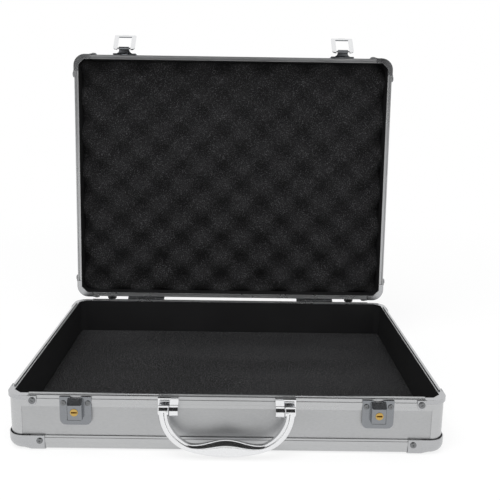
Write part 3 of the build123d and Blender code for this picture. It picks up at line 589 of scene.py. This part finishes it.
def make_finishes():
    """Every finish of the case, by a maker's plain name."""
    metal = bpy.context.scene.tool_case_metal
    foam = bpy.context.scene.tool_case_foam
    across, deep, lengthwise, even = (8.0, 1.0, 1.0), (1.0, 8.0, 1.0), (12.0, 12.0, 1.0), (1.0, 1.0, 1.0)
    # Roughness, direction and scale of the brushing, its depth and contrast, and strength of smudges
    for finish, name, colour, *values in (
            ("satin sheet", "satin_sheet", metal.satin_colour, 0.4, across, 2600.0, 0.15, 0.06, 0.08),
            ("satin side sheet", "satin_side_sheet", metal.satin_colour, 0.4, deep, 2600.0, 0.15, 0.06, 0.08),
            ("rail", "extruded_rail", metal.rail_colour, 0.27, lengthwise, 3400.0, 0.1, 0.04, 0.08),
            ("casting", "corner_casting", metal.casting_colour, 0.2, even, 900.0, 0.08, 0.03, 0.12),
            ("chrome", "bright_chrome", metal.chrome_colour, 0.1, even, 500.0, 0.03, 0.02, 0.1),
            ("nickel", "dull_nickel", metal.nickel_colour, 0.15, even, 1200.0, 0.06, 0.05, 0.15),
            ("steel", "nickelled_steel", metal.steel_colour, 0.22, even, 1400.0, 0.06, 0.04, 0.12),
            ("brass", "machined_brass", metal.brass_colour, 0.25, even, 2000.0, 0.1, 0.08, 0.1)):
        FINISHES[finish] = metal_finish(name, colour, *values)
    # Scale of the cells, level of the flecks, strength of the bumps, roughness and strength of bands
    for finish, name, colour, fleck, *values in (
            ("foam", "charcoal_foam", foam.foam_colour, foam.fleck_colour, 1000.0, 0.56, 0.7, 0.95, 0.0),
            ("pad", "floor_foam", shaded(foam.foam_colour, 0.8), shaded(foam.fleck_colour, 1.2),
             880.0, 0.53, 1.0, 0.95, 0.7),
            ("lining", "wall_lining", foam.lining_colour, shaded(foam.lining_colour, 3.0),
             2400.0, 0.66, 0.2, 0.85, 0.0),
            ("rubber", "black_rubber", foam.rubber_colour, shaded(foam.rubber_colour, 2.0),
             1800.0, 0.7, 0.15, 0.6, 0.0)):
        FINISHES[finish] = foam_finish(name, colour, fleck, *values)


def paint_node(node, finish):
    """Puts a finish on a CAD node that stays."""
    owner = frame["nodes"][node]
    if not owner.material_slots:
        raise RuntimeError("no material slot on " + node)
    for slot in owner.material_slots:
        slot.material = FINISHES[finish]


# Operators, one for each piece or group of like pieces

class CASE_OT_sheets(bpy.types.Operator):
    """Finish the satin sheet panels of the base and the lid"""
    bl_idname = "tool_case.sheets"
    bl_label = "Sheet Panels"

    def execute(self, context):
        for half, large in (("base_", "bottom"), ("lid_", "top")):
            for side in (large, "front", "back"):
                paint_node(half + "panel_" + side, "satin sheet")
            for side in ("left", "right"):
                paint_node(half + "panel_" + side, "satin side sheet")
        return {"FINISHED"}


class CASE_OT_rails(bpy.types.Operator):
    """Model the rim rails, edge rails and corner posts"""
    bl_idname = "tool_case.rails"
    bl_label = "Rails and Posts"

    def execute(self, context):
        for half in ("base", "lid"):
            for kind in ("rim_rails", "edge_rails", "corner_posts"):
                node = half + "_" + kind
                softened(node, node + "_dressed", half, "bright_aluminium", "rail")
        return {"FINISHED"}


class CASE_OT_castings(bpy.types.Operator):
    """Model the cast rim corners and the three-way corner caps"""
    bl_idname = "tool_case.castings"
    bl_label = "Corner Castings"

    def execute(self, context):
        for half in ("base", "lid"):
            for kind in ("rim_corners", "corner_caps"):
                node = half + "_" + kind
                softened(node, node + "_dressed", half, "bright_aluminium", "casting",
                         width=CASTING_SOFTNESS)
        return {"FINISHED"}


def screw_model(name, recessed):
    """A pan head of radius 1 and height 1 on z = 0, with a cross recess if it is a screw."""
    head = begin(name, bpy.ops.mesh.primitive_cylinder_add, vertices=20, radius=1.0, depth=1.0,
                 location=(0, 0, 0.5))
    # The edge round the head's top, at z = 1, is rounded over
    pick(head, "EDGE", lambda edge: all(vert.co.z > 0.9 for vert in edge.verts))
    bpy.ops.mesh.bevel(offset=0.62, segments=4, profile=0.55, affect="EDGES", clamp_overlap=False)
    rest()
    for turn in (0, 90) if recessed else ():
        blade = begin("blade", bpy.ops.mesh.primitive_cube_add, size=1.0, location=(0, 0, 0.95),
                      scale=(0.92, 0.17, 0.9))
        pick(blade, "FACE", lambda face: face.normal.z < -0.9)
        bpy.ops.transform.resize(value=(0.45, 0.8, 1.0), center_override=(0, 0, 0.5))
        rest()
        move(blade, Matrix.Rotation(math.radians(turn), 4, "Z"))
        apply_modifier(head, "BOOLEAN", operation="DIFFERENCE", object=blade, solver="EXACT")
        bpy.data.objects.remove(blade)
    return head


def place_heads(half):
    """Screw and rivet heads of one half, each over its own CAD head."""
    # The lid's heads are measured as if the lid were closed, where they lie along the axes
    undo = OPENED.inverted() if half == "lid" else Matrix.Identity(4)
    seat = undo.inverted()
    middle = (0, MIDDLE, LID_RIM + LID_HALF_HEIGHT if half == "lid" else RIM / 2)
    screw = screw_model(half + "_screw_model", True)
    rivet = screw_model(half + "_rivet_model", False)
    placed = []
    for index, (low, high) in enumerate(islands(half + "_screws", undo)):
        centre, size = (low + high) / 2, high - low
        axis = min(range(3), key=lambda i: size[i])
        outward = 1 if centre[axis] > middle[axis] else -1
        radius, height = max(size) / 2, size[axis]
        foot = Vector(centre)
        foot[axis] -= outward * height / 2
        direction = Vector([outward if i == axis else 0 for i in range(3)])
        turn = Vector((0, 0, 1)).rotation_difference(direction).to_matrix().to_4x4()
        twist = Matrix.Rotation(math.radians(SLOT_TURN * index % 90), 4, "Z")
        scale = Matrix.Diagonal((radius, radius, height, 1))
        model = rivet if radius < SMALLEST_SCREW_RADIUS else screw
        placed.append(twin(model, "head", seat @ Matrix.Translation(foot) @ turn @ twist @ scale))
    for model in (screw, rivet):
        bpy.data.objects.remove(model)
    heads = fuse(half + "_screw_heads", placed)
    smooth(heads, weighted=False)
    hand_over(heads, half, "polished_steel", "steel", half + "_screws")


class CASE_OT_screws(bpy.types.Operator):
    """Model the screw and rivet heads"""
    bl_idname = "tool_case.screws"
    bl_label = "Screws and Rivets"

    def execute(self, context):
        for half in ("base", "lid"):
            place_heads(half)
        return {"FINISHED"}


class CASE_OT_linings(bpy.types.Operator):
    """Model the wall linings of both halves"""
    bl_idname = "tool_case.linings"
    bl_label = "Linings"

    def execute(self, context):
        for half in ("base", "lid"):
            softened(half + "_lining", half + "_wall_lining", half, "black_lining", "lining",
                     width=LINING_SOFTNESS)
        return {"FINISHED"}


def tucked(x, y, half_x, half_y):
    """Moves a point of a rectangle in, where its corner is rounded."""
    straight_x, straight_y = half_x - FOAM_CORNER_RADIUS, half_y - FOAM_CORNER_RADIUS
    over_x, over_y = abs(x) - straight_x, abs(y) - straight_y
    if over_x <= 0 or over_y <= 0:
        return x, y
    shrink = max(over_x, over_y) / math.hypot(over_x, over_y)
    return math.copysign(straight_x + over_x * shrink, x), math.copysign(straight_y + over_y * shrink, y)


def border_tuck(x, y, half_x, half_y, border):
    """How far the top is tucked in: 1 on the border line, and 0 further in than the border's width."""
    inward = max(0.0, min(half_x - abs(x), half_y - abs(y)))
    return max(0.0, 1 - inward / border) ** 2


def foam_block(name, half_x, half_y, floor, steps, height_at):
    """A foam sheet with a shaped top: a grid whose border goes down to the floor."""
    sheet = begin(name, bpy.ops.mesh.primitive_grid_add, x_subdivisions=steps[0],
                  y_subdivisions=steps[1], size=2.0)
    mesh = bmesh.from_edit_mesh(sheet.data)
    for vert in mesh.verts:
        x, y = tucked(vert.co.x * half_x, vert.co.y * half_y, half_x, half_y)
        vert.co = Vector((x, y, height_at(x, y)))
    bmesh.update_edit_mesh(sheet.data)
    pick(sheet, "EDGE", lambda edge: edge.is_boundary)
    # Any small drop will do, because the new edge is then put on the floor
    bpy.ops.mesh.extrude_region_move(TRANSFORM_OT_translate={"value": (0, 0, -0.0005)})
    mesh = bmesh.from_edit_mesh(sheet.data)
    for vert in mesh.verts:
        if vert.select:
            vert.co.z = floor
    bmesh.update_edit_mesh(sheet.data)
    bpy.ops.mesh.edge_face_add()
    bpy.ops.mesh.select_all(action="SELECT")
    bpy.ops.mesh.normals_make_consistent(inside=False)
    rest()
    return sheet


class CASE_OT_egg_crate_foam(bpy.types.Operator):
    """Model the staggered egg-crate foam of the lid"""
    bl_idname = "tool_case.egg_crate_foam"
    bl_label = "Egg-crate Foam"

    def execute(self, context):
        sizes = context.scene.tool_case_foam
        low, high = islands("lid_egg_crate_foam", LID_SEAT.inverted())[0]
        half_x, half_y, floor = high.x, high.y, low.z
        pitch_x, pitch_y = sizes.bump_pitch_x, sizes.bump_pitch_y
        first_x = -(BUMP_COLUMNS - 1) / 2 * pitch_x
        first_y = (BUMP_ROWS - 1) / 2 * pitch_y - sizes.row_shift

        def height_at(x, y):
            wave = math.cos(math.pi * (x - first_x) / pitch_x) * math.cos(math.pi * (y - first_y) / pitch_y)
            plain = 0.5 + 0.5 * wave
            fuller = plain * plain * (3 - 2 * plain)
            share = fuller * BUMP_FULLNESS + plain * (1 - BUMP_FULLNESS)
            top = floor + sizes.slab_height + sizes.bump_height * share
            return top - FOAM_BORDER_DROP * border_tuck(x, y, half_x, half_y, FOAM_BORDER)

        foam = foam_block("lid_foam_sheet", half_x, half_y, floor,
                          (sizes.steps_across, sizes.steps_deep), height_at)
        move(foam, LID_SEAT)
        smooth(foam, angle=50, weighted=False)
        hand_over(foam, "lid", "black_foam", "foam", "lid_egg_crate_foam")
        return {"FINISHED"}


class CASE_OT_floor_pad(bpy.types.Operator):
    """Model the flat foam pad on the floor of the base"""
    bl_idname = "tool_case.floor_pad"
    bl_label = "Floor Pad"

    def execute(self, context):
        low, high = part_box("base_floor_pad")
        half_x, half_y, thick = (high.x - low.x) / 2, (high.y - low.y) / 2, high.z - low.z

        def height_at(x, y):
            # A slow uneven wave, so that the pad isn't quite flat
            ripple = PAD_RIPPLE * math.sin(x * 31 + 1.3) * math.sin(y * 87 + x * 9)
            drop = PAD_BORDER_DROP * border_tuck(x, y, half_x, half_y, PAD_BORDER)
            return thick - PAD_SINK + ripple - drop

        pad = foam_block("base_foam_pad", half_x, half_y, 0.0, PAD_STEPS, height_at)
        move(pad, Matrix.Translation(((low.x + high.x) / 2, (low.y + high.y) / 2, low.z)))
        smooth(pad, angle=50, weighted=False)
        hand_over(pad, "base", "black_foam", "pad", "base_floor_pad")
        return {"FINISHED"}


class CASE_OT_hinges(bpy.types.Operator):
    """Model the hinge leaves and finish the pins"""
    bl_idname = "tool_case.hinges"
    bl_label = "Hinges"

    def execute(self, context):
        for half in ("base", "lid"):
            softened("hinge_" + half + "_leaves", half + "_hinge_leaves", half, "polished_steel", "steel")
        paint_node("hinge_pins", "steel")
        return {"FINISHED"}


class CASE_OT_feet(bpy.types.Operator):
    """Model the rubber feet on the rear walls"""
    bl_idname = "tool_case.feet"
    bl_label = "Rear Feet"

    def execute(self, context):
        for half in ("base", "lid"):
            softened(half + "_feet", half + "_rubber_feet", half, "black_rubber", "rubber",
                     width=FOOT_SOFTNESS, angle=40, segments=3)
        return {"FINISHED"}


class CASE_OT_locks(bpy.types.Operator):
    """Model the lock plates and key cylinders, and finish the bolts"""
    bl_idname = "tool_case.locks"
    bl_label = "Locks"

    def execute(self, context):
        softened("lock_plates", "nickelled_lock_plates", "base", "chrome_zinc", "nickel",
                 width=PLATE_SOFTNESS)
        for side in ("left", "right"):
            softened("lock_" + side + "_key_cylinder", side + "_key_cylinder", "key_" + side, "brass",
                     "brass", width=PLATE_SOFTNESS)
            paint_node("lock_" + side + "_bolt", "steel")
        return {"FINISHED"}


class CASE_OT_latches(bpy.types.Operator):
    """Model the latch brackets and hasp frames, and finish the pins"""
    bl_idname = "tool_case.latches"
    bl_label = "Latches"

    def execute(self, context):
        softened("latch_brackets", "lid_latch_brackets", "lid", "chrome_zinc", "nickel",
                 width=PLATE_SOFTNESS)
        for side in ("left", "right"):
            softened("latch_" + side + "_frame", side + "_hasp_frame", "latch_" + side, "chrome_zinc",
                     "chrome", width=CASTING_SOFTNESS)
            paint_node("latch_" + side + "_pin", "steel")
        return {"FINISHED"}


def lofted(name, around, along, place):
    """A closed bar from a grid: its first direction goes round the section and its second along the bar."""
    bar = begin(name, bpy.ops.mesh.primitive_grid_add, x_subdivisions=around, y_subdivisions=along, size=2.0)
    mesh = bmesh.from_edit_mesh(bar.data)
    for vert in mesh.verts:
        vert.co = place(math.pi * vert.co.x, (vert.co.y + 1) / 2)
    bmesh.update_edit_mesh(bar.data)
    bpy.ops.mesh.select_all(action="SELECT")
    bpy.ops.mesh.remove_doubles(threshold=SEAM_DISTANCE)
    for end in (min, max):
        mesh = bmesh.from_edit_mesh(bar.data)
        limit = end(vert.co.x for vert in mesh.verts)
        pick(bar, "EDGE", lambda edge: edge.is_boundary and edge.verts[0].co.x * limit > 0)
        bpy.ops.mesh.edge_face_add()
    bpy.ops.mesh.select_all(action="SELECT")
    bpy.ops.mesh.normals_make_consistent(inside=False)
    rest()
    return bar


def bail_sides(sizes, way):
    """The outer and inner side of the bail, from way -1 at the left knuckle to 1 at the right one."""
    share = 1 - abs(way)
    side = -1 if way < 0 else 1
    corner_x = sizes.half_width - sizes.corner_radius
    span = math.sqrt((sizes.grip_radius - sizes.corner_radius) ** 2 - corner_x ** 2)
    grip_drop = sizes.reach - sizes.grip_radius
    corner_drop = grip_drop + span
    lean = math.atan2(corner_x, span)
    bend_x = sizes.half_width - sizes.arm_width - sizes.bend_radius
    bend_end = Vector((bend_x + sizes.bend_radius * math.cos(sizes.bend_turn),
                       -corner_drop - sizes.bend_radius * math.sin(sizes.bend_turn)))
    if share < 0.5:
        turn = share * 2
        angle = turn * (math.pi / 2 - lean)
        outer = Vector((corner_x + sizes.corner_radius * math.cos(angle),
                        -corner_drop - sizes.corner_radius * math.sin(angle)))
        angle = turn * sizes.bend_turn
        inner = Vector((bend_x + sizes.bend_radius * math.cos(angle),
                        -corner_drop - sizes.bend_radius * math.sin(angle)))
    else:
        left = 2 - share * 2
        angle = lean * left
        outer = Vector((sizes.grip_radius * math.sin(angle),
                        -grip_drop - sizes.grip_radius * math.cos(angle)))
        x = bend_end.x * left
        inner = Vector((x, -finger_line(sizes, bend_end, x)))
    return Vector((side * outer.x, outer.y)), Vector((side * inner.x, inner.y))


def finger_line(sizes, bend_end, x):
    """How far the grip's inner side hangs under the pivot, from the middle over the dip to the bend."""
    if x < sizes.dip_place:
        share = x / sizes.dip_place
        rise = 0.5 - 0.5 * math.cos(math.pi * share)
        return sizes.finger_rise + (sizes.finger_dip - sizes.finger_rise) * rise
    share = (x - sizes.dip_place) / (bend_end.x - sizes.dip_place)
    slope = math.tan(math.pi / 2 - sizes.bend_turn)
    length = bend_end.x - sizes.dip_place
    drop = -bend_end.y - sizes.finger_dip
    fall = (3 * share ** 2 - 2 * share ** 3) * drop
    return sizes.finger_dip + fall - (share ** 3 - share ** 2) * slope * length


class CASE_OT_handle(bpy.types.Operator):
    """Model the chromed bail handle and its brackets, and finish the pins"""
    bl_idname = "tool_case.handle"
    bl_label = "Handle"

    def execute(self, context):
        sizes = context.scene.tool_case_handle

        def place(turn, way):
            outer, inner = bail_sides(sizes, way * 2 - 1)
            middle, half = (outer + inner) / 2, (outer - inner) / 2
            across, thick = math.cos(turn), math.sin(turn)
            if thick < 0:
                lean = across - BAIL_CREST
                reach = 1 + BAIL_CREST if lean < 0 else 1 - BAIL_CREST
                thick = -max(0.0, 1 - (lean / reach) ** 2) ** 0.5
            point = middle + half * across
            return Vector((point.x, sizes.thickness / 2 * thick, point.y))

        pieces = [lofted("bail", *BAIL_STEPS, place)]
        for side in (-1, 1):
            centre = side * (sizes.half_width - sizes.knuckle_width / 2)
            knuckle = begin("knuckle", bpy.ops.mesh.primitive_cylinder_add, vertices=32,
                            radius=KNUCKLE_RADIUS, depth=sizes.knuckle_width, location=(centre, 0, 0),
                            rotation=(0, math.pi / 2, 0))
            pick(knuckle, "EDGE", lambda edge: abs(edge.verts[0].co.x - edge.verts[1].co.x) < SEAM_DISTANCE)
            bpy.ops.mesh.bevel(offset=KNUCKLE_ROUNDING, segments=4, affect="EDGES")
            rest()
            pieces.append(knuckle)
        bail = fuse("bail_handle", pieces)
        pivot = Matrix.Translation(Vector(JOINTS["handle_swing"]["pos_m"]))
        move(bail, pivot @ Matrix.Rotation(-sizes.tilt, 4, "X"))
        smooth(bail, weighted=False)
        hand_over(bail, "handle", "chrome_zinc", "chrome", "handle")
        softened("handle_brackets", "bail_brackets", "base", "chrome_zinc", "chrome",
                 width=PLATE_SOFTNESS)
        paint_node("handle_pins", "steel")
        return {"FINISHED"}


def seen_directly(tree, x, y):
    """A mask that is 1 for what the camera or a reflection sees, and 0 for light on the object."""
    rays = add(tree, "ShaderNodeLightPath", (x, y)).outputs
    return calculated(tree, "MAXIMUM", (x + 250, y), rays["Is Camera Ray"], rays["Is Glossy Ray"])


def lay_floor():
    """A white floor that keeps the object's shadow and is plain white further off."""
    floor = begin("studio_floor", bpy.ops.mesh.primitive_plane_add, size=FLOOR_SIZE, location=(0, 0, 0))
    rest()
    material, tree, shader = blank_finish("white_floor")
    feed(tree, shader, Base_Color=(FLOOR_SHADE, FLOOR_SHADE, FLOOR_SHADE, 1), Roughness=0.9)
    glow = add(tree, "ShaderNodeEmission", (-200, -300), Strength=1.0)
    away = add(tree, "ShaderNodeVectorMath", (-800, 200))
    away.operation = "LENGTH"
    place = add(tree, "ShaderNodeTexCoord", (-1000, 200))
    tree.links.new(place.outputs["Object"], away.inputs[0])
    fade = add(tree, "ShaderNodeMapRange", (-600, 200), Value=away.outputs["Value"],
               From_Min=SHADOW_REACH[0], From_Max=SHADOW_REACH[1], To_Min=NEAR_GLOW, To_Max=1.0)
    fade.interpolation_type = "SMOOTHSTEP"
    part = calculated(tree, "MULTIPLY", (-150, -100), seen_directly(tree, -600, -100),
                      fade.outputs["Result"])
    both = add(tree, "ShaderNodeMixShader", (200, 0))
    for value, socket in zip((part, shader.outputs["BSDF"], glow.outputs["Emission"]), both.inputs):
        tree.links.new(value, socket)
    tree.links.new(both.outputs["Shader"], tree.nodes["Material Output"].inputs["Surface"])
    floor.data.materials.append(material)


def light_room(context, studio):
    """A soft room that looks white, and two softboxes that don't show in reflections."""
    world = bpy.data.worlds.new("soft_room")
    context.scene.world = world
    world.use_nodes = True
    tree = world.node_tree
    level = add(tree, "ShaderNodeMapRange", (-350, 0), Value=seen_directly(tree, -800, 0),
                To_Min=studio.sky_level, To_Max=1.0)
    feed(tree, tree.nodes["Background"], Color=(1, 1, 1, 1), Strength=level.outputs["Result"])
    for name, place, aim, size, power in (
            ("key_softbox", (-0.25, -0.7, 1.5), (0, 0, 0.1), 1.1, studio.key_power),
            ("fill_softbox", (0.5, -1.7, 0.9), (0, 0, 0.15), 1.2, studio.fill_power)):
        rest()
        bpy.ops.object.light_add(type="AREA", location=place)
        lamp = context.object
        lamp.name = lamp.data.name = name
        lamp.data.shape = "SQUARE"
        lamp.data.size = size
        lamp.data.energy = power
        lamp.visible_glossy = False
        lamp.rotation_euler = (Vector(aim) - Vector(place)).to_track_quat("-Z", "Y").to_euler()


def stand_cards(studio):
    """Dark cards that show only in reflections, as the dark room does in chrome."""
    material, tree, shader = blank_finish("dark_card")
    tree.nodes.remove(shader)
    glow = add(tree, "ShaderNodeEmission", (0, 0), Color=(1, 1, 1, 1), Strength=studio.card_level)
    tree.links.new(glow.outputs["Emission"], tree.nodes["Material Output"].inputs["Surface"])
    for name, place, lean, wide, tall in (
            ("front_card", (0, -2.6, 1.5), 90, 2.4, 2.0),
            ("ceiling_card", (0, -1.45, 2.5), 0, 2.4, 2.3),
            ("floor_card", (0, -0.62, 0.0015), 0, 0.08, 0.54)):
        card = begin(name, bpy.ops.mesh.primitive_plane_add, size=1.0)
        rest()
        move(card, Matrix.Translation(place) @ Matrix.Rotation(math.radians(lean), 4, "X")
             @ Matrix.Diagonal((wide, tall, 1, 1)))
        card.data.materials.append(material)
        card.visible_camera = card.visible_diffuse = card.visible_shadow = False
        card.visible_transmission = card.visible_volume_scatter = False


def turned(axis, angle):
    """The camera's turn about one of its axes, with its right, ahead and up directions as rows."""
    c, s = math.cos(angle), math.sin(angle)
    return Matrix({"yaw": ((c, s, 0), (-s, c, 0), (0, 0, 1)), "pitch": ((1, 0, 0), (0, c, s), (0, -s, c)),
                   "roll": ((c, 0, s), (0, 1, 0), (-s, 0, c))}[axis])


def set_camera(context, studio):
    """The camera at the photograph's viewing angle."""
    data = bpy.data.cameras.new("camera")
    data.sensor_width = SENSOR_WIDTH
    data.lens = studio.camera_lens
    data.shift_x = studio.camera_shift
    data.clip_start, data.clip_end = 0.01, 50
    camera = bpy.data.objects.new("camera", data)
    context.scene.collection.objects.link(camera)
    right, ahead, up = (turned("roll", studio.camera_roll) @ turned("pitch", studio.camera_pitch)
                        @ turned("yaw", studio.camera_yaw))
    columns = Matrix((right, up, -ahead)).transposed()
    camera.matrix_world = Matrix.Translation(Vector(studio.camera_place)) @ columns.to_4x4()
    context.scene.camera = camera


class CASE_OT_studio(bpy.types.Operator):
    """Set the floor, the soft lights, the dark cards and the camera"""
    bl_idname = "tool_case.studio"
    bl_label = "Studio"

    def execute(self, context):
        studio = context.scene.tool_case_studio
        lay_floor()
        light_room(context, studio)
        stand_cards(studio)
        set_camera(context, studio)
        context.scene.view_settings.view_transform = "Standard"
        return {"FINISHED"}


PIECES = (CASE_OT_sheets, CASE_OT_rails, CASE_OT_castings, CASE_OT_screws, CASE_OT_linings,
          CASE_OT_egg_crate_foam, CASE_OT_floor_pad, CASE_OT_hinges, CASE_OT_feet, CASE_OT_locks,
          CASE_OT_latches, CASE_OT_handle, CASE_OT_studio)
SETTINGS = (("tool_case_metal", ToolCaseMetal), ("tool_case_foam", ToolCaseFoam),
            ("tool_case_handle", ToolCaseHandle), ("tool_case_studio", ToolCaseStudio))


class CASE_PT_panel(bpy.types.Panel):
    """Lists the pieces of the tool case and its sizes"""
    bl_idname = "CASE_PT_panel"
    bl_label = "Tool Case"
    bl_space_type = "VIEW_3D"
    bl_region_type = "UI"
    bl_category = "Tool Case"

    def draw(self, context):
        """Draws a button for each piece and a box for each group of settings."""
        layout = self.layout
        for piece in PIECES:
            layout.operator(piece.bl_idname)
        for name, group in SETTINGS:
            box = layout.box()
            for key in group.__annotations__:
                box.prop(getattr(context.scene, name), key)


def register():
    """Registers the settings, the operators and the panel."""
    for name, group in SETTINGS:
        bpy.utils.register_class(group)
        setattr(bpy.types.Scene, name, PointerProperty(type=group))
    for piece in (*PIECES, CASE_PT_panel):
        bpy.utils.register_class(piece)


def unregister():
    """Takes out what register puts in, in reverse order."""
    for piece in reversed((*PIECES, CASE_PT_panel)):
        bpy.utils.unregister_class(piece)
    for name, group in reversed(SETTINGS):
        delattr(bpy.types.Scene, name)
        bpy.utils.unregister_class(group)


def main():
    """Makes the finishes, then every piece and the studio."""
    register()
    make_finishes()
    bpy.ops.tool_case.sheets()
    bpy.ops.tool_case.rails()
    bpy.ops.tool_case.castings()
    bpy.ops.tool_case.screws()
    bpy.ops.tool_case.linings()
    bpy.ops.tool_case.egg_crate_foam()
    bpy.ops.tool_case.floor_pad()
    bpy.ops.tool_case.hinges()
    bpy.ops.tool_case.feet()
    bpy.ops.tool_case.locks()
    bpy.ops.tool_case.latches()
    bpy.ops.tool_case.handle()
    bpy.ops.tool_case.studio()


if __name__ == "__main__":
    main()
